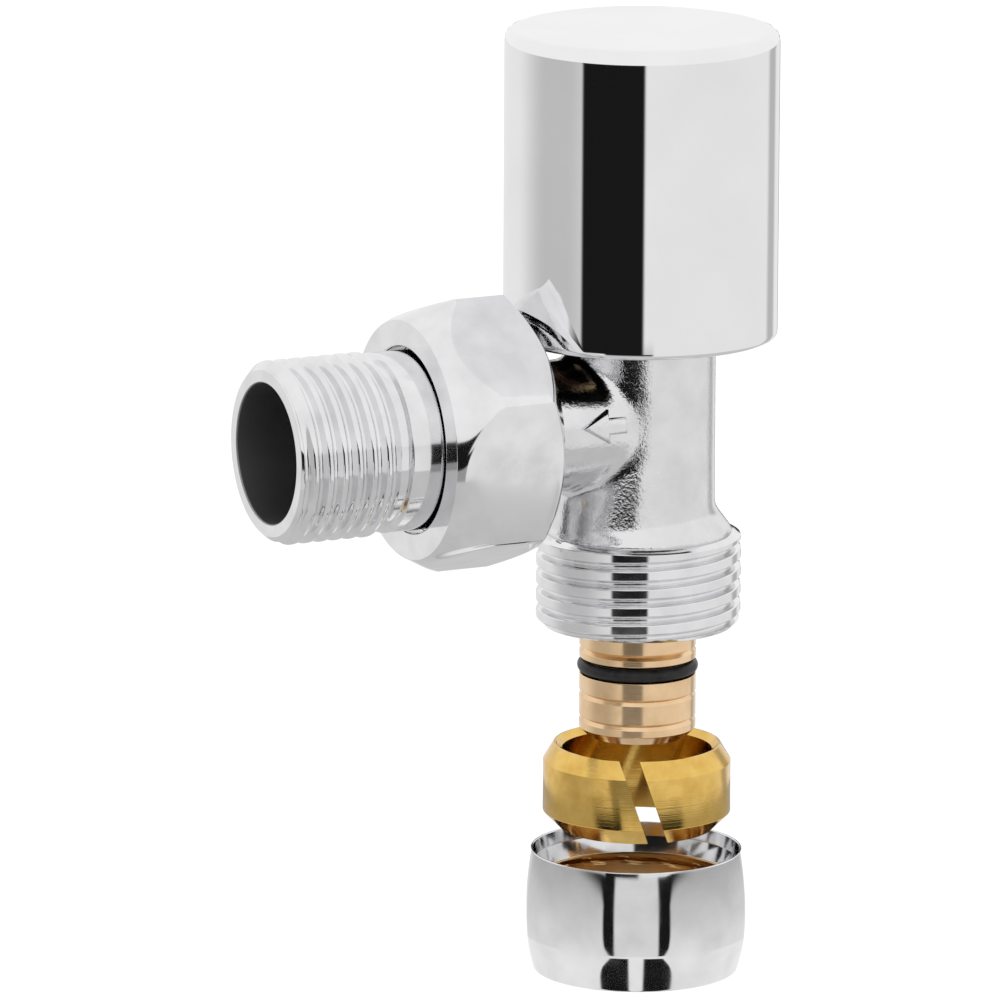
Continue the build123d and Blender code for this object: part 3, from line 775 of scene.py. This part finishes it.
seal_turns = np.linspace(0, 2 * np.pi, 32, endpoint=False)
seal_middle, seal_height, seal_round = 6.2, -29.0, 0.75
seal_outline = [
    (seal_middle + seal_round * math.cos(turn), seal_height + seal_round * math.sin(turn))
    for turn in seal_turns
]
shank_seal = turned("shank_seal", seal_outline, 128, valve_axis)
dressed(shank_seal, black_rubber, "valve", "black_rubber", "nipple_shank_seal")


# Split ring
# A brass compression ring, brushed and bare, chamfered at both ends and slit so that it can close.
yellow_brass, yellow_tree, yellow_spot = metal(
    "yellow_brass", (0.86, 0.57, 0.16), (0.74, 0.46, 0.11), 0.1, 0.18, 500.0
)
lined(yellow_tree, yellow_spot, 2, 9000.0, 0.14, 0.00004)
slot_facing = math.radians(-111.5)
slot_slant = math.radians(19.0)
slot_lean = math.tan(slot_slant)
slot_half = 1.1 / math.cos(slot_slant)
ring_bore, ring_outside, ring_foot, ring_top = 8.6, 10.8, -48.1, -38.2
ring_middle = -43.15
ring_outline = softened(
    [
        (ring_bore, ring_foot, 0),
        (8.8, ring_foot, 0.05),
        (ring_outside, -46.1, 0.15),
        (ring_outside, -40.2, 0.15),
        (9.6, ring_top, 0.12),
        (9.3, ring_top, 0.1),
        (ring_bore, -38.9, 0.1),
    ]
)
ring_steps = 180
ring_points, ring_faces = [], []
for radius, height in ring_outline:
    slant = -(height - ring_middle) * slot_lean
    start = slot_facing + math.asin((slant + slot_half) / radius)
    end = slot_facing + math.asin((slant - slot_half) / radius) + 2 * math.pi
    for turn in np.linspace(start, end, ring_steps + 1):
        ring_points.append((radius * math.cos(turn), radius * math.sin(turn), height))
row = ring_steps + 1
for place in range(len(ring_outline)):
    after = (place + 1) % len(ring_outline)
    for step in range(ring_steps):
        this, other = place * row + step, after * row + step
        ring_faces.append((this, this + 1, other + 1, other))
ring_faces.append([place * row for place in range(len(ring_outline))])
ring_faces.append([place * row + ring_steps for place in range(len(ring_outline))][::-1])
ring = solid("ring", ring_points, ring_faces, valve_axis)
dressed(ring, yellow_brass, "split_ring", "yellow_brass", "split_ring")


# Compression nut
# A plated brass nut, barrel shaped with six crowned flats; its thread inside is bare.
nut_chrome, nut_tree, nut_spot = metal("nut_chrome", **plated)
bore_shade_or_bare_metal(nut_tree, nut_spot, upright, 0.01182, -0.0625, -0.0542, (0.55, 0.36, 0.17), 0.2)
nut_turn = math.radians(34.0)
nut_top = -50.7
nut_base = -64.9
nut_middle = (nut_top + nut_base) / 2
nut_shoulder = -60.5
nut_crown = 0.75
nut_corner, nut_flat, nut_bore, nut_hole = 12.95, 12.6, 11.02, 8.7
nut_reach = nut_top - nut_middle


def barrel_flats(angle, radius, height):
    """Cuts six slightly crowned flats on the outside of the compression nut."""
    side = (angle - nut_turn + math.radians(30)) % math.radians(60) - math.radians(30)
    flat = nut_flat - nut_crown * ((height - nut_middle) / nut_reach) ** 2
    cut_flat = blend_low(radius, flat / np.cos(side), 0.05)
    return np.where((radius > 11.7) & (height < nut_top - 0.01), cut_flat, radius)


nut_corners = [(nut_hole, nut_base, 0.2), (11.75, nut_base, 0.3), (nut_corner, nut_shoulder, 2.5)]
for share in np.linspace(0, 1, 24)[1:-1]:
    height = nut_shoulder + share * (nut_top - nut_shoulder)
    lift = (height - nut_middle) / nut_reach
    nut_corners.append((nut_corner - nut_crown * max(lift, 0) ** 2, height, 0))
nut_corners += [
    (12.2, nut_top, 0.3),
    (11.92, nut_top, 0.15),
    (11.78, nut_top - 1.6, 0.1),
    (11.38, nut_top - 3.5, 0.05),
    (nut_bore, nut_top - 3.6, 0),
    (nut_bore, nut_base + 5.2, 0),
    (nut_hole, nut_base + 2.9, 0.2),
]
nut_outline = refined(softened(nut_corners), nut_base, nut_top, 10.9, 0.13)
nut_blank = turned("nut", nut_outline, 360, Matrix.Identity(4), barrel_flats)
nut = threaded(
    nut_blank,
    valve_axis,
    nut_chrome,
    nut_base + 5.6,
    nut_top - 3.65,
    (10.9, 11.2),
    Pitch=port_pitch,
    Crest=nut_bore,
    Depth=0.76,
    Root=0.34,
    Mouth=0.43,
    Phase=0.0,
    Inside=True,
)
dressed(nut, nut_chrome, "compression_nut", "turned_chrome", "compression_nut")


# Inner pieces
# The headwork, spindle, plug, packing, seals and the handle's moulded hub, which show only from
# below or when the pieces are taken apart.
brass, brass_tree, brass_spot = metal("brass", (0.6, 0.45, 0.24), (0.45, 0.33, 0.17), 0.25, 0.4)
lined(brass_tree, brass_spot, 2, 7000.0, 0.25, 0.00003)
steel = metal("steel", (0.62, 0.62, 0.64), (0.5, 0.5, 0.52), 0.25, 0.4)[0]


def plain(name, light, dark, smooth, rough):
    """Moulded or pressed material, a little uneven in tint and gloss."""
    material = metal(name, light, dark, smooth, rough, 700.0)[0]
    material.node_tree.nodes["Principled BSDF"].inputs["Metallic"].default_value = 0.0
    return material


finishes = {
    "brass": brass,
    "steel": steel,
    "black_rubber": black_rubber,
    "fibre": plain("fibre", (0.45, 0.2, 0.14), (0.36, 0.15, 0.1), 0.7, 0.85),
    "black_plastic": plain("black_plastic", (0.02, 0.02, 0.02), (0.03, 0.03, 0.03), 0.35, 0.5),
    "white_plastic": plain("white_plastic", (0.85, 0.85, 0.83), (0.8, 0.8, 0.78), 0.35, 0.5),
}
for subpart in frame["record"]["subparts"]:
    inner = frame["nodes"][subpart["node"]]
    if not inner.hide_render:
        inner.data.materials.clear()
        inner.data.materials.append(finishes[subpart["material_slot"]])


# Floor
# A plain white floor well below the valve, which is shown in the air as in the photo.
floor_height = -0.13
floor_reach = 6


def seen_directly(tree):
    """Value that is 1 for rays from the camera, off metal or through glass, else 0."""
    ray = node(tree, "ShaderNodeLightPath").outputs
    total = ray["Is Camera Ray"]
    for kind in ("Is Glossy Ray", "Is Transmission Ray"):
        total = node(tree, "ShaderNodeMath", {0: total, 1: ray[kind]}, operation="ADD").outputs[0]
    return total


floor_paint = bpy.data.materials.new("floor_white")
floor_paint.use_nodes = True
floor_tree = floor_paint.node_tree
floor_shader = floor_tree.nodes["Principled BSDF"]
floor_shader.inputs["Base Color"].default_value = (0.9, 0.9, 0.9, 1)
floor_shader.inputs["Roughness"].default_value = 1.0
floor_shader.inputs["Specular IOR Level"].default_value = 0.0
lift = node(floor_tree, "ShaderNodeMath", {0: seen_directly(floor_tree), 1: 0.3}, operation="MULTIPLY")
floor_shader.inputs["Emission Color"].default_value = (1, 1, 1, 1)
floor_tree.links.new(lift.outputs[0], floor_shader.inputs["Emission Strength"])
floor_mesh = bpy.data.meshes.new("floor")
floor_mesh.from_pydata(
    [(x * floor_reach, y * floor_reach, floor_height) for x, y in ((-1, -1), (1, -1), (1, 1), (-1, 1))],
    [],
    [(0, 1, 2, 3)],
)
floor_mesh.materials.append(floor_paint)
floor = bpy.data.objects.new("floor", floor_mesh)
scene.collection.objects.link(floor)


# Light
# A white tent round the valve that only its metal mirrors, with a dark opening where the photographer
# stands and three plain cards on its wall. A card stands close round the nut, and the sky is white.
wall_white, roof_white, floor_grey, black = 0.85, 0.95, 0.6, 0.01
tent_radius, tent_floor, tent_roof = 0.26, -0.128, 0.25
card_head, soft_end = 0.02, 0.006
# Each card has its middle, half width and soft edge in degrees from the camera's side, its foot, its
# head and its level. The last three are the opening: wide above, narrow below, and grey at its foot.
tent_cards = [
    (-75, 30, 40, -0.13, card_head, 0.55),
    (138, 8, 8, -0.13, card_head, 0.5),
    (177, 10, 3, -0.085, card_head, black),
    (-24, 26, 3, -0.048, card_head, black),
    (-10, 20, 3, -0.085, -0.042, black),
    (-10, 20, 3, -0.13, -0.085, 0.35),
]


def step_up(value, edge, width):
    """Smooth step from 0 to 1 across an edge."""
    share = np.clip((value - edge) / width + 0.5, 0, 1)
    return share * share * (3 - 2 * share)


def tent_shade(turn, height):
    """Level of the tent: its roof, its floor, and its wall with the cards on it."""
    if height > tent_roof:
        return roof_white
    if height < tent_floor:
        return floor_grey
    level = wall_white + (roof_white - wall_white) * step_up(height, card_head, soft_end)
    for middle, half, soft, foot, head, shade in tent_cards:
        away = abs((turn - middle + 180) % 360 - 180)
        share = 1 - step_up(away, half, soft)
        share *= step_up(height, foot, soft_end) * (1 - step_up(height, head, soft_end))
        level = level * (1 - share) + shade * share
    return level


nut_card_radius = 0.03
strip_side, strip_foot, patch_head = 18, -0.066, -0.076


def card_shade(turn, height):
    """Level of the card round the nut: white below, grey above, with dark strips and patches."""
    side = abs(turn)
    grey = np.interp(height, (-0.07, -0.05), (0.9, 0.45))
    grey = grey if side > strip_side else max(grey, 0.75)
    strip_end = np.interp(height, (-0.056, -0.049), (38, 48))
    above_foot = step_up(height, strip_foot, 0.001)
    strip = step_up(side, strip_side, 2) * (1 - step_up(side, strip_end, 6)) * above_foot
    patch = step_up(side, 7, 2) * (1 - step_up(side, 36, 2)) * (1 - step_up(height, patch_head, 0.001))
    behind = step_up(side, 163, 2) * above_foot
    dark = strip + patch + behind
    return grey * (1 - dark) + black * dark


def lit_wall(name, path, shade_at):
    """Round wall of light about the valve's axis that only mirrors see."""
    turns = np.linspace(-180, 180, 361)
    points, shades, faces = [], [], []
    for radius, height in path:
        for turn in turns:
            facing = camera_turn + math.radians(turn)
            points.append((crossing.x + radius * math.sin(facing), -radius * math.cos(facing), height))
            shades.append(shade_at(turn, height))
    for level in range(len(path) - 1):
        for column in range(len(turns) - 1):
            first = level * len(turns) + column
            other = first + len(turns)
            faces.append((first, first + 1, other + 1, other))
    mesh = bpy.data.meshes.new(name)
    mesh.from_pydata(points, [], faces)
    shade = mesh.attributes.new("shade", "FLOAT", "POINT")
    shade.data.foreach_set("value", np.array(shades, np.float32))
    mesh.materials.append(tent_paint)
    wall = bpy.data.objects.new(name, mesh)
    wall.visible_camera = False
    wall.visible_diffuse = False
    wall.visible_transmission = False
    wall.visible_shadow = False
    scene.collection.objects.link(wall)


tent_paint = bpy.data.materials.new("light_tent")
tent_paint.use_nodes = True
tent_paint.cycles.emission_sampling = "NONE"
tent_tree = tent_paint.node_tree
tent_tree.nodes.clear()
tent_level = node(tent_tree, "ShaderNodeAttribute", attribute_name="shade")
tent_glow = node(tent_tree, "ShaderNodeEmission", {"Strength": tent_level.outputs["Fac"]})
node(tent_tree, "ShaderNodeOutputMaterial", {"Surface": tent_glow.outputs[0]})
wall_heights = np.linspace(-0.127, 0.033, 81)
tent_path = [(0.001, -0.129), (tent_radius, -0.129)]
tent_path += [(tent_radius, height) for height in wall_heights]
tent_path += [(tent_radius, 0.249), (tent_radius, 0.251), (0.001, 0.251)]
lit_wall("light_tent", tent_path, tent_shade)
nut_card_path = [(nut_card_radius, height) for height in np.linspace(-0.125, -0.049, 153)]
lit_wall("nut_card", nut_card_path, card_shade)

world = bpy.data.worlds.new("studio")
world.use_nodes = True
world.cycles.sampling_method = "NONE"
sky = world.node_tree.nodes["Background"]
sky.inputs["Color"].default_value = (1, 1, 1, 1)
sky_levels = {"Value": seen_directly(world.node_tree), "To Min": 0.85, "To Max": 1.0}
sky_level = node(world.node_tree, "ShaderNodeMapRange", sky_levels)
world.node_tree.links.new(sky_level.outputs[0], sky.inputs["Strength"])
scene.world = world
